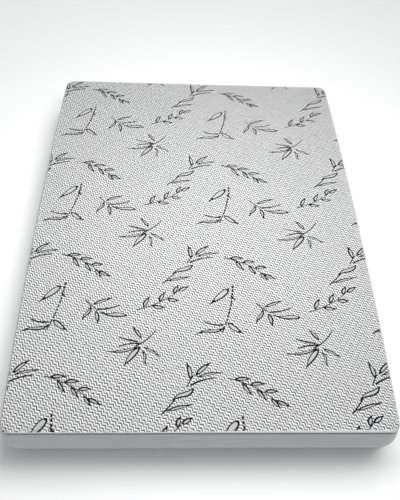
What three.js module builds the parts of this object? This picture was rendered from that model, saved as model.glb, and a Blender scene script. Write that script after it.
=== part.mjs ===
// A fitted mattress protector stretched over a plain mattress.
// Units are millimetres. The origin is on the surface the mattress stands on, under its middle.
// +Y runs to the head end, +X to the right seen from the foot end, +Z is up.
import * as THREE from "three";

// Size of the covered mattress, outside the cloth, along its top edges at the corners
const WIDTH = 1496;
const LENGTH = 2008;
const EDGE_HEIGHT = 203;
// How far the middle of the top stands above its edges
const CROWN = 5;
// How far each long side curves out at mid-length, and every side swells out at mid-height
const SIDE_BOW = 17;
const SIDE_SWELL = 13;
// Roundings: the corners seen from above, the top edge and the bottom edge
const CORNER_RADIUS = 52;
const TOP_ROUNDING = 21;
const BOTTOM_ROUNDING = 22;

// Cloth
const PANEL_THICKNESS = 2.5;
const SKIRT_THICKNESS = 1.5;
// Room along the cloth between the panel's edge and the skirt's, which meet at the seam
const PIECE_GAP = 0.55;
// The seam lies on the top rounding, this many degrees down from level
const SEAM_TURN = 41;
// The corners of the flat-cut top panel are squarer than the mattress, so the seam dips there
const PANEL_CORNER_RADIUS = 12;
// The skirt is tucked this far under the mattress and ends in a hem round an elastic
const TUCK = 112;
const HEM_WIDTH = 14;
const HEM_THICKNESS = 4;
const HEM_CORNER_RADIUS = 120;

// Room between the cloth and the mattress: round its edges and sides, on top, and above the hem
const SIDE_ROOM = 3;
const TOP_ROOM = 0.35;
const HEM_ROOM = 0.3;

// Slow unevenness of the top: a soft surface never lies dead flat
const UNEVENNESS = 0.8;
const WAVES = [
  { across: 2.3, along: 1.4, phase: 0.6 },
  { across: -1.6, along: 3.1, phase: 2.2 },
  { across: 3.4, along: -2.2, phase: 4.1 },
];

// Divisions of the faceted shapes
const ACROSS_STEPS = 8;
const ALONG_STEPS = 10;
// Shares of the corner zone, counted from the seam, where its grid lines run
const CORNER_LINES = [0, 0.1, 0.2, 0.33, 0.55, 0.78];
const ROUNDING_STEPS = 2;
const SIDE_STEPS = 7;
const TUCK_STEPS = 3;

// Sizes worked out from the ones above
const HALF_WIDTH = WIDTH / 2;
const HALF_LENGTH = LENGTH / 2;
const ARC_X = HALF_WIDTH - CORNER_RADIUS;
const ARC_Y = HALF_LENGTH - CORNER_RADIUS;
const FLAT_X = HALF_WIDTH - TOP_ROUNDING;
const FLAT_Y = HALF_LENGTH - TOP_ROUNDING;
const FLAT_CORNER = CORNER_RADIUS - TOP_ROUNDING;
const SEAM_REACH = TOP_ROUNDING * THREE.MathUtils.degToRad(SEAM_TURN);
const PANEL_X = FLAT_X + SEAM_REACH;
const PANEL_Y = FLAT_Y + SEAM_REACH;
const CORNER_ZONE = PANEL_X - ARC_X;
const QUARTER_TURN = Math.PI / 2;
const MATTRESS_INSET = SKIRT_THICKNESS + SIDE_ROOM;
const MATTRESS_TOP_DEPTH = PANEL_THICKNESS + TOP_ROOM;
const MATTRESS_BASE = HEM_THICKNESS + HEM_ROOM;
// The swell fades out softly at the top and bottom edges
const SWELL_SOFTNESS = 1.5;
// The crown keeps most of the top level and falls near its edges
const CROWN_POWER = 4;

// Widens a point for the long sides' outward curve
function bowed(x, y, z) {
  const curve = 1 - (y / HALF_LENGTH) ** 2;
  return new THREE.Vector3(x * (1 + (SIDE_BOW * curve) / HALF_WIDTH), y, z);
}

// Height of the top over its edge: the crown and the slow unevenness, both nothing at the edges
function topRise(x, y) {
  const u = x / FLAT_X;
  const v = y / FLAT_Y;
  const inner = (1 - Math.abs(u) ** CROWN_POWER) * (1 - Math.abs(v) ** CROWN_POWER);
  let wave = 0;
  for (const { across, along, phase } of WAVES) {
    wave += Math.sin(across * u + along * v + phase);
  }
  return inner * (CROWN + (UNEVENNESS * wave) / WAVES.length);
}

// Where a point of the flat cloth lies past the level part of the top: the foot of the
// shortest way to it, the direction, and the distance, which is 0 on the level part
function pastEdge(x, y) {
  const overX = Math.abs(x) - ARC_X;
  const overY = Math.abs(y) - ARC_Y;
  if (overX > 0 && overY > 0) {
    const away = Math.hypot(overX, overY);
    const nx = (Math.sign(x) * overX) / away;
    const ny = (Math.sign(y) * overY) / away;
    const foot = { x: Math.sign(x) * ARC_X + nx * FLAT_CORNER, y: Math.sign(y) * ARC_Y + ny * FLAT_CORNER };
    return { ...foot, nx, ny, distance: Math.max(0, away - FLAT_CORNER) };
  }
  if (Math.abs(x) > FLAT_X) {
    return { x: Math.sign(x) * FLAT_X, y, nx: Math.sign(x), ny: 0, distance: Math.abs(x) - FLAT_X };
  }
  const distance = Math.max(0, Math.abs(y) - FLAT_Y);
  return { x, y: Math.sign(y) * FLAT_Y, nx: 0, ny: Math.sign(y), distance };
}

// A point of the flat cloth laid over the top and its rounding, sunk below the outer surface
// by a depth measured outwards at the sides and another measured down from the top
function laidOver(x, y, sideDepth, topDepth) {
  const past = pastEdge(x, y);
  if (past.distance === 0) {
    return bowed(x, y, EDGE_HEIGHT - topDepth + topRise(x, y));
  }
  const turn = past.distance / TOP_ROUNDING;
  const out = (TOP_ROUNDING - sideDepth) * Math.sin(turn);
  const up = (TOP_ROUNDING - topDepth) * Math.cos(turn);
  return bowed(past.x + past.nx * out, past.y + past.ny * out, EDGE_HEIGHT - TOP_ROUNDING + up);
}

// Grid lines over the flat top panel in one direction, close together in the corner zones
function gridLines(half, steps) {
  const edge = CORNER_LINES.map((share) => half - share * CORNER_ZONE);
  const inner = half - CORNER_ZONE;
  const middle = Array.from({ length: steps + 1 }, (_, i) => inner - (2 * inner * i) / steps);
  const far = edge.map((value) => -value).reverse();
  return [...edge, ...middle, ...far].reverse();
}

// Pulls a grid point in to the rounded corner of the flat-cut panel
function cutCorner(x, y) {
  const centreX = PANEL_X - PANEL_CORNER_RADIUS;
  const centreY = PANEL_Y - PANEL_CORNER_RADIUS;
  const overX = Math.abs(x) - centreX;
  const overY = Math.abs(y) - centreY;
  const away = Math.hypot(overX, overY);
  if (overX <= 0 || overY <= 0 || away <= PANEL_CORNER_RADIUS) {
    return { x, y };
  }
  const keep = PANEL_CORNER_RADIUS / away;
  return { x: Math.sign(x) * (centreX + overX * keep), y: Math.sign(y) * (centreY + overY * keep) };
}

const COLUMNS = gridLines(PANEL_X, ACROSS_STEPS);
const ROWS = gridLines(PANEL_Y, ALONG_STEPS);
const PANEL_GRID = ROWS.map((y) => COLUMNS.map((x) => cutCorner(x, y)));

// Places on the rim of the panel grid, as [row, column], anticlockwise from the foot's left corner
function rimPlaces() {
  const lastRow = ROWS.length - 1;
  const lastColumn = COLUMNS.length - 1;
  const foot = COLUMNS.slice(0, lastColumn).map((_, i) => [0, i]);
  const right = ROWS.slice(0, lastRow).map((_, i) => [i, lastColumn]);
  const head = COLUMNS.slice(0, lastColumn).map((_, i) => [lastRow, lastColumn - i]);
  const left = ROWS.slice(0, lastRow).map((_, i) => [lastRow - i, 0]);
  return [...foot, ...right, ...head, ...left];
}

const RIM = rimPlaces();

// A station is a place round the mattress: on a straight side at a share of its length,
// or in a corner at a turn; all rings of the skirt and the mattress have the same stations
function stationAt({ x, y }) {
  const overX = Math.abs(x) - ARC_X;
  const overY = Math.abs(y) - ARC_Y;
  const signX = Math.sign(x);
  const signY = Math.sign(y);
  const seamReach = pastEdge(x, y).distance;
  if (overX > 0 && overY > 0) {
    return { kind: "corner", signX, signY, turn: Math.atan2(overY, overX), seamReach };
  }
  if (overX > 0) {
    return { kind: "long", signX, share: y / ARC_Y, seamReach };
  }
  return { kind: "short", signY, share: x / ARC_X, seamReach };
}

const STATIONS = RIM.map(([row, column]) => stationAt(PANEL_GRID[row][column]));

// The point of a station on the ring that lies inset from the sides with rounded corners
function ringPoint(station, inset, radius, z) {
  const x = HALF_WIDTH - inset;
  const y = HALF_LENGTH - inset;
  if (station.kind === "long") {
    return bowed(station.signX * x, station.share * (y - radius), z);
  }
  if (station.kind === "short") {
    return bowed(station.share * (x - radius), station.signY * y, z);
  }
  const cornerX = x - radius + radius * Math.cos(station.turn);
  const cornerY = y - radius + radius * Math.sin(station.turn);
  return bowed(station.signX * cornerX, station.signY * cornerY, z);
}

function ring(place) {
  return STATIONS.map(place);
}

function steps(count, from = 0) {
  return Array.from({ length: count + 1 - from }, (_, i) => (i + from) / count);
}

// Rings down the top rounding from each station's seam to the upright
function topRoundingRings(sideDepth, topDepth, firstReach, from) {
  return steps(ROUNDING_STEPS, from).map((share) =>
    ring((station) => {
      const start = (station.seamReach + firstReach) / TOP_ROUNDING;
      const turn = start + (QUARTER_TURN - start) * share;
      const inset = TOP_ROUNDING - (TOP_ROUNDING - sideDepth) * Math.sin(turn);
      const z = EDGE_HEIGHT - TOP_ROUNDING + (TOP_ROUNDING - topDepth) * Math.cos(turn);
      return ringPoint(station, inset, CORNER_RADIUS - inset, z);
    }),
  );
}

// Rings down the sides, which swell out at mid-height
function sideRings(depth) {
  return steps(SIDE_STEPS, 1).map((share) => {
    const inset = depth - SIDE_SWELL * Math.sin(Math.PI * share) ** SWELL_SOFTNESS;
    const z = THREE.MathUtils.lerp(EDGE_HEIGHT - TOP_ROUNDING, BOTTOM_ROUNDING, share);
    return ring((station) => ringPoint(station, inset, CORNER_RADIUS - inset, z));
  });
}

// Rings round the bottom edge down to the level that the given depth leaves
function bottomRoundingRings(sideDepth, bottomDepth) {
  return steps(ROUNDING_STEPS, 1).map((share) => {
    const inset = BOTTOM_ROUNDING - (BOTTOM_ROUNDING - sideDepth) * Math.cos(QUARTER_TURN * share);
    const z = BOTTOM_ROUNDING - (BOTTOM_ROUNDING - bottomDepth) * Math.sin(QUARTER_TURN * share);
    return ring((station) => ringPoint(station, inset, CORNER_RADIUS - inset, z));
  });
}

// Rings of the tucked-under part, whose corners the elastic draws round
function tuckRings(z, hemZ) {
  const startRadius = CORNER_RADIUS - BOTTOM_ROUNDING;
  const radiusAt = (inset) => {
    const share = (inset - BOTTOM_ROUNDING) / (TUCK - BOTTOM_ROUNDING);
    return THREE.MathUtils.lerp(startRadius, HEM_CORNER_RADIUS, share);
  };
  const hemStart = TUCK - HEM_WIDTH;
  const flat = steps(TUCK_STEPS, 1).map((share) => {
    const inset = THREE.MathUtils.lerp(BOTTOM_ROUNDING, hemStart, share);
    return ring((station) => ringPoint(station, inset, radiusAt(inset), z));
  });
  const hem = [hemStart + HEM_THICKNESS / 2, TUCK].map((inset) =>
    ring((station) => ringPoint(station, inset, radiusAt(inset), hemZ)),
  );
  return [...flat, ...hem];
}

// Collects vertices and faces of one closed solid
class Solid {
  constructor() {
    this.positions = [];
    this.faces = [];
  }

  add(point) {
    this.positions.push(point.x, point.y, point.z);
    return this.positions.length / 3 - 1;
  }

  addAll(points) {
    return points.map((point) => this.add(point));
  }

  quad(a, b, c, d) {
    this.faces.push(a, b, c, a, c, d);
  }

  // Faces between two rings of vertex numbers, the first above or outside the second
  band(upper, lower) {
    upper.forEach((_, i) => {
      const next = (i + 1) % upper.length;
      this.quad(upper[i], lower[i], lower[next], upper[next]);
    });
  }

  bands(rings) {
    for (let i = 1; i < rings.length; i += 1) {
      this.band(rings[i - 1], rings[i]);
    }
  }

  // Faces of a grid of vertex numbers, looking up or down, both split along the same diagonals
  grid(numbers, facesUp) {
    for (let row = 1; row < numbers.length; row += 1) {
      for (let column = 1; column < numbers[row].length; column += 1) {
        const near = numbers[row - 1][column - 1];
        const right = numbers[row - 1][column];
        const far = numbers[row][column];
        const left = numbers[row][column - 1];
        if (facesUp) {
          this.quad(near, right, far, left);
        } else {
          this.quad(near, left, far, right);
        }
      }
    }
  }

  // Closes a ring from below with faces to a point in its middle
  closeBelow(lower, centre) {
    lower.forEach((number, i) => {
      this.faces.push(number, centre, lower[(i + 1) % lower.length]);
    });
  }

  geometry() {
    const geometry = new THREE.BufferGeometry();
    geometry.setAttribute("position", new THREE.Float32BufferAttribute(this.positions, 3));
    geometry.setIndex(this.faces);
    geometry.computeVertexNormals();
    return geometry;
  }
}

function onGrid(solid, sideDepth, topDepth) {
  return PANEL_GRID.map((line) => solid.addAll(line.map(({ x, y }) => laidOver(x, y, sideDepth, topDepth))));
}

function rimOf(numbers) {
  return RIM.map(([row, column]) => numbers[row][column]);
}

// The knitted top panel, one sheet that rolls over the mattress's top edge to the seam
function topPanelGeometry() {
  const solid = new Solid();
  const outer = onGrid(solid, 0, 0);
  const inner = onGrid(solid, PANEL_THICKNESS, PANEL_THICKNESS);
  solid.grid(outer, true);
  solid.grid(inner, false);
  solid.band(rimOf(outer), rimOf(inner));
  return solid.geometry();
}

// The skirt, one sheet from the seam down the sides, round the bottom edge and under to the hem
function skirtGeometry() {
  const solid = new Solid();
  const depth = SKIRT_THICKNESS;
  const outer = [
    ...topRoundingRings(0, 0, PIECE_GAP, 0),
    ...sideRings(0),
    ...bottomRoundingRings(0, 0),
    ...tuckRings(0, 0),
  ];
  const inner = [
    ...topRoundingRings(depth, depth, PIECE_GAP, 0),
    ...sideRings(depth),
    ...bottomRoundingRings(depth, depth),
    ...tuckRings(depth, HEM_THICKNESS),
  ];
  const numbers = [...outer, ...inner.reverse()].map((points) => solid.addAll(points));
  solid.bands(numbers);
  solid.band(numbers.at(-1), numbers[0]);
  return solid.geometry();
}

// The mattress, one filled block with a crowned top and rounded edges
function mattressGeometry() {
  const solid = new Solid();
  const top = onGrid(solid, MATTRESS_INSET, MATTRESS_TOP_DEPTH);
  solid.grid(top, true);
  const below = [
    ...topRoundingRings(MATTRESS_INSET, MATTRESS_TOP_DEPTH, 0, 1),
    ...sideRings(MATTRESS_INSET),
    ...bottomRoundingRings(MATTRESS_INSET, MATTRESS_BASE),
  ].map((points) => solid.addAll(points));
  solid.bands([rimOf(top), ...below]);
  solid.closeBelow(below.at(-1), solid.add(new THREE.Vector3(0, 0, MATTRESS_BASE)));
  return solid.geometry();
}

const KNIT = new THREE.MeshStandardMaterial({ color: 0xe4e4e6, roughness: 0.9, metalness: 0 });
const SKIRT_CLOTH = new THREE.MeshStandardMaterial({ color: 0xd2d3d5, roughness: 0.85, metalness: 0 });
const TICKING = new THREE.MeshStandardMaterial({ color: 0xe9e6de, roughness: 0.95, metalness: 0 });

function piece(name, geometry, material) {
  const mesh = new THREE.Mesh(geometry, material);
  mesh.name = name;
  return mesh;
}

const protector = new THREE.Group();
protector.add(
  piece("top_panel", topPanelGeometry(), KNIT),
  piece("skirt", skirtGeometry(), SKIRT_CLOTH),
);

const coveredMattress = new THREE.Group();
coveredMattress.add(piece("mattress", mattressGeometry(), TICKING), protector);

export default coveredMattress;
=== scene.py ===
"""A fitted mattress protector on a plain mattress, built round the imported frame.

The top panel is cut flat with its leaf pattern, then laid over the mattress; the skirt is pulled
over the sides and tucked under. Lengths are in metres, and tables of the pattern in millimetres.
"""

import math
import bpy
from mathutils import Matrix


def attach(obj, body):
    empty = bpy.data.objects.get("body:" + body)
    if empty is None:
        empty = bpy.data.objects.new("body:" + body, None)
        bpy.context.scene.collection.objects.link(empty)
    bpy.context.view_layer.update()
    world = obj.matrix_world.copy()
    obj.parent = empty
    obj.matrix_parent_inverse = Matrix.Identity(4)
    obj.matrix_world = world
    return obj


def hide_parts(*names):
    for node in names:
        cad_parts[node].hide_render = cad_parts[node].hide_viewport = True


bl_info = {
    "name": "Fitted Mattress Protector",
    "version": (1, 0, 0),
    "blender": (4, 5, 0),
    "location": "3D View > Sidebar > Protector",
    "description": "Builds a mattress protector with a knitted leaf pattern on a plain mattress",
    "category": "Add Mesh",
}

from collections import namedtuple
from itertools import product

import bpy
import numpy as np
from mathutils import Matrix, Vector, noise
from mathutils.geometry import delaunay_2d_cdt

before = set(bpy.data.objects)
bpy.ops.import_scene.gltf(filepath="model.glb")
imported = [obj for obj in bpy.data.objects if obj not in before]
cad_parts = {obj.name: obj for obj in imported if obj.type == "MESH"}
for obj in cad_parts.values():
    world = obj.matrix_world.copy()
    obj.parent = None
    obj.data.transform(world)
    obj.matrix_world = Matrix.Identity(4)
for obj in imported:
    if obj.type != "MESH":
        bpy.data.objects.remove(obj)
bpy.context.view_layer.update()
MM = 0.001
QUARTER_TURN = math.pi / 2


# Sizes and colours that a user would change


def length(name, description, default):
    return bpy.props.FloatProperty(
        name=name, description=description, default=default, unit="LENGTH", precision=4
    )


def colour(name, description, default):
    return bpy.props.FloatVectorProperty(
        name=name, description=description, default=default, subtype="COLOR", min=0, max=1
    )


def number(name, description, default):
    return bpy.props.FloatProperty(name=name, description=description, default=default)


def angle(name, description, degrees):
    return bpy.props.FloatProperty(
        name=name, description=description, default=math.radians(degrees), unit="ROTATION"
    )


class CoveredSizes(bpy.types.PropertyGroup):
    """Sizes of the covered mattress, outside the cloth."""

    width: length("Width", "Across the top edges at the corners", 1.496)
    length: length("Length", "Along the top edges at the corners", 2.008)
    edge_height: length("Edge height", "Top edge over the floor", 0.203)
    crown: length("Crown", "Middle of the top over its edges", 0.005)
    side_bow: length("Side bow", "How far the long sides curve out at mid-length", 0.017)
    side_swell: length("Side swell", "How far the sides swell out at mid-height", 0.013)
    corner_radius: length("Corner radius", "Corners seen from above", 0.052)
    top_rounding: length("Top rounding", "Radius of the top edge", 0.021)
    bottom_rounding: length("Bottom rounding", "Radius of the bottom edge", 0.022)
    seam_turn: angle("Seam turn", "Where the seam lies on the top rounding, down from level", 41)
    panel_corner: length("Panel corner", "Corner radius of the flat-cut panel", 0.012)
    panel_thickness: length("Panel thickness", "Thickness of the knitted panel", 0.0025)
    skirt_thickness: length("Skirt thickness", "Thickness of the skirt", 0.0015)
    tuck: length("Tuck", "How far the skirt reaches under the mattress", 0.112)
    hem_width: length("Hem width", "Width of the elastic hem", 0.014)
    hem_thickness: length("Hem thickness", "Thickness of the elastic hem", 0.004)
    hem_corner: length("Hem corner", "Radius that the elastic draws the hem's corners to", 0.12)


class LeafPattern(bpy.types.PropertyGroup):
    """The leaf pattern knitted into the top panel."""

    repeat_across: length("Repeat across", "Width of one repeat", 0.712)
    repeat_along: length("Repeat along", "Length of one repeat", 0.567)
    turn: angle("Turn", "How far the pattern lies off square", -0.75)
    pulled_on: length("Pulled on", "How far the cloth's right side is pulled to the head end", 0.024)
    pulled_aside: length("Pulled aside", "How far the foot end is pulled to the right", 0.032)
    line: length("Line", "Width of a leaf's dark outline", 0.0055)
    sink: length("Sink", "How far the outlines are drawn in", 0.0008)
    puff: length("Puff", "How far a leaf's inside stands out", 0.0007)
    ink: colour("Line colour", "Dark yarn of the outlines", (0.006, 0.006, 0.007))
    leaf: colour("Leaf colour", "Inside of the leaves", (0.43, 0.43, 0.435))


class KnitLook(bpy.types.PropertyGroup):
    """The knitted ground: drawn-down lines that step down to the right, and puffed knit between."""

    # yarn and ground are painted lit and shaded copies of the knit: white on the side of a line
    # towards the key light, grey on the other side
    yarn: colour("Yarn", "White yarn on the lit side of a line", (0.97, 0.97, 0.97))
    ground: colour("Ground", "Knit on the other side of a line", (0.45, 0.45, 0.455))
    # The drawn-down lines' colour is partly their dark yarn and partly painted shade in the recess
    groove_yarn_and_shade: colour("Groove", "Yarn in the drawn-down lines", (0.01, 0.01, 0.011))
    step_across: length("Step across", "From one step of a line to the next", 0.0155)
    step_down: length("Step down", "From one step of a line to the next", 0.0160)
    corner_across: length("Corner across", "From a step's start to its corner", 0.0122)
    corner_down: length("Corner down", "From a step's start to its corner", 0.0007)
    next_across: length("Next line, across", "From one line of steps to the next", 0.0063)
    next_along: length("Next line, along", "From one line of steps to the next", 0.0105)
    drawn: length("Drawn down", "How deep the lines lie", 0.0006)
    puffed: length("Puffed", "How far the knit stands out between the lines", 0.0006)
    wander: number("Wander", "How unevenly the lines lie, from 0 to 1", 1.0)
    strip: length("Plain strip", "Width of the plain strip along the seam at the ends", 0.0085)
    side_strip: length("Side strip", "Width of the plain strip along the sides", 0.0035)
    strip_change: length("Strip change", "How much the plain strip's width changes", 0.0035)
    strip_colour: colour("Strip colour", "Plain strip along the seam", (0.66, 0.66, 0.67))


class SkirtLook(bpy.types.PropertyGroup):
    """The smooth stretch cloth of the skirt."""

    cloth: colour("Cloth", "Pale grey stretch cloth", (0.59, 0.595, 0.60))
    ripple: length("Ripple", "Height of the slow ripples along the sides", 0.0005)
    gather: length("Gather", "Height of the gathers at the hem", 0.0018)
    gather_pitch: length("Gather pitch", "Distance between gathers", 0.034)
    fold: length("Fold", "Width of the shaded fold under the seam", 0.0045)


class Sewing(bpy.types.PropertyGroup):
    """Stitches of the seam and the hem."""

    pitch: length("Pitch", "Distance between stitches", 0.0032)
    thread: length("Thread", "Thickness of the thread", 0.0005)
    seam_reach: length("Seam reach", "How far a stitch reaches to both sides of the seam", 0.0032)
    roll: length("Roll", "How far the panel's edge rolls in at the seam", 0.0014)
    roll_width: length("Roll width", "Width of the panel's rolled edge", 0.0035)
    drop: length("Drop", "How far the skirt is drawn in at the seam", 0.0024)
    drop_width: length("Drop width", "Width of the drawn-in part of the skirt", 0.024)
    # The thread is grey, darkened as painted shade so that the seam's stitches keep the shaded line
    # under the seam dark
    thread_colour: colour("Thread colour", "Thread", (0.38, 0.38, 0.39))


class Studio(bpy.types.PropertyGroup):
    """Floor, light and camera."""

    floor: colour("Floor", "Plain pale floor", (0.93, 0.93, 0.93))
    sky: number("Sky", "Strength of the even light from all round", 0.39)
    key: number("Key", "Strength of the soft light from above the head end", 1.55)
    key_height: angle("Key height", "Height of the key light over the horizon", 55)
    key_turn: angle("Key turn", "Direction of the key light, from the head end to the right", 42)
    key_spread: angle("Key spread", "Softness of the key light", 45)
    panel: number("Panel", "Power of the soft light panel over the top, in watts", 25.5)
    lens: number("Lens", "Focal length on a 36 mm sensor, in millimetres", 38.862)


# Shape of the covered mattress


# Corners of a rectangle, anticlockwise
CORNERS = ((1, 1), (-1, 1), (-1, -1), (1, -1))


def walk_round(half_x, half_y, spacing, corner_steps):
    """Stations round a rounded rectangle: places of the arcs' centres in shares of theirs, ways
    outwards, and how far each has turned within its corner."""
    centre, away, turns = [], [], []
    for number, (sx, sy) in enumerate(CORNERS):
        on_side = number % 2 == 1
        for step in range(corner_steps + 1):
            turn = step / corner_steps * QUARTER_TURN
            turn = QUARTER_TURN - turn if on_side else turn
            centre.append((sx, sy))
            away.append((sx * math.cos(turn), sy * math.sin(turn)))
            turns.append(turn)
        count = round(2 * (half_y if on_side else half_x) / spacing)
        for step in range(1, count):
            share = 1 - 2 * step / count
            centre.append((sx, sy * share) if on_side else (sx * share, sy))
            away.append((sx, 0) if on_side else (0, sy))
            turns.append(0)
    return np.array(centre, float), np.array(away, float), np.array(turns, float)


class CoveredForm:
    """Where flat cloth comes to lie on the mattress, worked out from the sizes."""

    CROWN_POWER = 4
    SWELL_SOFTNESS = 1.5
    OUTLINE_CORNER_STEPS = 4
    # Slow unevenness of the top: across, along, phase
    WAVES = ((2.3, 1.4, 0.6), (-1.6, 3.1, 2.2), (3.4, -2.2, 4.1))
    UNEVENNESS = 0.8 * MM

    def __init__(self, size):
        self.size = size
        self.half_x = size.width / 2
        self.half_y = size.length / 2
        self.arc_x = self.half_x - size.corner_radius
        self.arc_y = self.half_y - size.corner_radius
        self.flat_x = self.half_x - size.top_rounding
        self.flat_y = self.half_y - size.top_rounding
        self.flat_corner = size.corner_radius - size.top_rounding
        self.seam_reach = size.top_rounding * size.seam_turn
        self.panel_x = self.flat_x + self.seam_reach
        self.panel_y = self.flat_y + self.seam_reach

    def bowed(self, x, y, z):
        """Points widened for the long sides' outward curve."""
        curve = 1 - (y / self.half_y) ** 2
        return np.stack([x * (1 + self.size.side_bow * curve / self.half_x), y, z], axis=-1)

    def top_rise(self, x, y):
        """Height of the top over its edge."""
        u, v = x / self.flat_x, y / self.flat_y
        across, along = (1 - np.clip(np.abs(w), 0, 1) ** self.CROWN_POWER for w in (u, v))
        wave = sum(np.sin(a * u + b * v + phase) for a, b, phase in self.WAVES)
        return across * along * (self.size.crown + self.UNEVENNESS * wave / len(self.WAVES))

    def past_edge(self, x, y):
        """Foot of the shortest way to the level top, direction of that way, and its length."""
        over_x = np.abs(x) - self.arc_x
        over_y = np.abs(y) - self.arc_y
        corner = (over_x > 0) & (over_y > 0)
        away = np.where(corner, np.hypot(over_x, over_y), 1)
        long_side = ~corner & (np.abs(x) > self.flat_x)
        short_side = ~corner & ~long_side & (np.abs(y) > self.flat_y)
        nx = np.where(corner, over_x / away, long_side) * np.sign(x)
        ny = np.where(corner, over_y / away, short_side) * np.sign(y)
        places = [corner, long_side, short_side]
        past_sides = [np.abs(x) - self.flat_x, np.abs(y) - self.flat_y]
        ways = [np.maximum(away - self.flat_corner, 0), *past_sides]
        distance = np.select(places, ways, 0)
        return x - nx * distance, y - ny * distance, nx, ny, distance

    def laid_over(self, x, y, depth):
        """Points of the flat cloth laid over the top and its rounding, sunk in by a depth."""
        foot_x, foot_y, nx, ny, distance = self.past_edge(x, y)
        radius = self.size.top_rounding
        turn = distance / radius
        out = (radius - depth) * np.sin(turn)
        up = (radius - depth) * np.cos(turn)
        z = self.size.edge_height - radius + up + np.where(distance > 0, 0, self.top_rise(x, y))
        return self.bowed(foot_x + nx * out, foot_y + ny * out, z)

    def inside_border(self, x, y):
        """How far a flat point lies inside the border of the flat-cut panel."""
        radius = self.size.panel_corner
        qx = np.abs(x) - self.panel_x + radius
        qy = np.abs(y) - self.panel_y + radius
        outside = np.hypot(np.maximum(qx, 0), np.maximum(qy, 0))
        return radius - outside - np.minimum(np.maximum(qx, qy), 0)

    def rounded_outline(self, inset, spacing):
        """Flat points round the panel, as many at every inset from its border."""
        radius = max(self.size.panel_corner - inset, 1 * MM)
        centre, away, _ = walk_round(self.panel_x, self.panel_y, spacing, self.OUTLINE_CORNER_STEPS)
        return centre * (self.panel_x - inset - radius, self.panel_y - inset - radius) + away * radius

    def seam_at(self, turn):
        """How far past the level top the flat panel's border reaches, at a turn of a corner."""
        centre = self.panel_x - self.size.panel_corner - self.arc_x
        edge = self.panel_x - self.arc_x
        c, s = np.cos(turn), np.sin(turn)
        on_side = edge / np.maximum(c, s)
        under_root = np.maximum(self.size.panel_corner**2 - (centre * (c - s)) ** 2, 0)
        on_corner = centre * (c + s) + np.sqrt(under_root)
        in_corner = np.minimum(c, s) * on_side > centre
        return np.where(in_corner, on_corner, on_side) - self.flat_corner


class Stations:
    """Places round the mattress, corner by corner, at which every ring has a point."""

    def __init__(self, form, spacing, corner_steps):
        self.form = form
        self.centre, self.away, turns = walk_round(form.arc_x, form.arc_y, spacing, corner_steps)
        self.seam = form.seam_at(turns)
        middle = self.ring(0, form.size.corner_radius, 0)
        steps = np.linalg.norm(np.roll(middle, -1, axis=0) - middle, axis=1)
        self.along = np.concatenate([[0], np.cumsum(steps)[:-1]])
        self.girth = float(steps.sum())

    def ring(self, inset, radius, z):
        """The ring that lies inset from the sides, with corners of a radius, at a height."""
        half = [self.form.half_x, self.form.half_y]
        from_side = np.broadcast_to(inset + radius, len(self.away))[:, None]
        spread = np.broadcast_to(radius, len(self.away))[:, None]
        x, y = (self.centre * (half - from_side) + self.away * spread).T
        return self.form.bowed(x, y, np.broadcast_to(z, x.shape))

    def top_rounding(self, share, reach, depth):
        """Ring on the top rounding, at a share of the way from the seam to the upright."""
        size = self.form.size
        start = (self.seam + reach) / size.top_rounding
        turn = start + (QUARTER_TURN - start) * share
        inset = size.top_rounding - (size.top_rounding - depth) * np.sin(turn)
        z = size.edge_height - size.top_rounding + (size.top_rounding - depth) * np.cos(turn)
        return self.ring(inset, size.corner_radius - inset, z)

    def side(self, share, depth):
        """Ring on the sides, at a share of the way down between the two roundings."""
        size = self.form.size
        inset = depth - size.side_swell * math.sin(math.pi * share) ** self.form.SWELL_SOFTNESS
        top = size.edge_height - size.top_rounding
        z = top + (size.bottom_rounding - top) * share
        return self.ring(inset, size.corner_radius - inset, z)

    def bottom_rounding(self, share, depth, lift):
        """Ring round the bottom edge."""
        size = self.form.size
        turn = QUARTER_TURN * share
        inset = size.bottom_rounding - (size.bottom_rounding - depth) * math.cos(turn)
        z = size.bottom_rounding - (size.bottom_rounding - lift) * math.sin(turn)
        return self.ring(inset, size.corner_radius - inset, z)

    def under(self, inset, z):
        """Ring of the tucked-under part, whose corners the elastic draws round."""
        size = self.form.size
        start = size.corner_radius - size.bottom_rounding
        share = (inset - size.bottom_rounding) / (size.tuck - size.bottom_rounding)
        return self.ring(inset, start + (size.hem_corner - start) * share, z)


# Leaf pattern: each sprig is a short table in millimetres from its own joint


# A stem is one stroke, and so is a very narrow leaf.
# A leaf's tail is the power of the share from its tip: the more, the longer it is drawn out
LEAF_COLUMNS = "base_x base_y tip_x tip_y width bend wave tail"
Leaf = namedtuple("Leaf", LEAF_COLUMNS, defaults=(1.15,))
Stem = namedtuple("Stem", "base_x base_y tip_x tip_y width bend")
Dashes = namedtuple("Dashes", "base_x base_y tip_x tip_y width bend count share")
Sprig = namedtuple("Sprig", "across along parts")

FAN = (
    Leaf(4, 22, -34, 72, 11, -2, 0),
    Stem(-12, 8, -88, 27, 7.2, 2),
    Stem(-2, 0, -84, -14, 7.4, -5),
    Leaf(-4, -12, -132, -37, 9, 9, 0),
    Leaf(-2, -18, -61, -96, 19.5, -3, 0, 1.3),
    Leaf(8, -32, 27, -93, 8.5, 2, 4),
    Leaf(14, -15, 80, -56, 8.5, 2, 0),
    Stem(-20, -12, 61, 63, 5.8, -9),
)
BRANCH = (
    Leaf(3, 20, -12, 93, 14, -4, 0),
    Leaf(22, 38, 84, 93, 13.5, 3, 0),
    Leaf(28, 31, 130, 52, 8.5, 5, 0),
    Stem(0, -2, 102, 30, 7.6, 7),
    Leaf(12, -12, -74, -63, 16, 2, 5),
    Leaf(-98, -102, 7, -76, 9.5, 2, 0),
    Stem(-116, -113, -58, -52, 6, -2),
    Stem(-13, -7, 16, 40, 5, 2),
)
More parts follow.
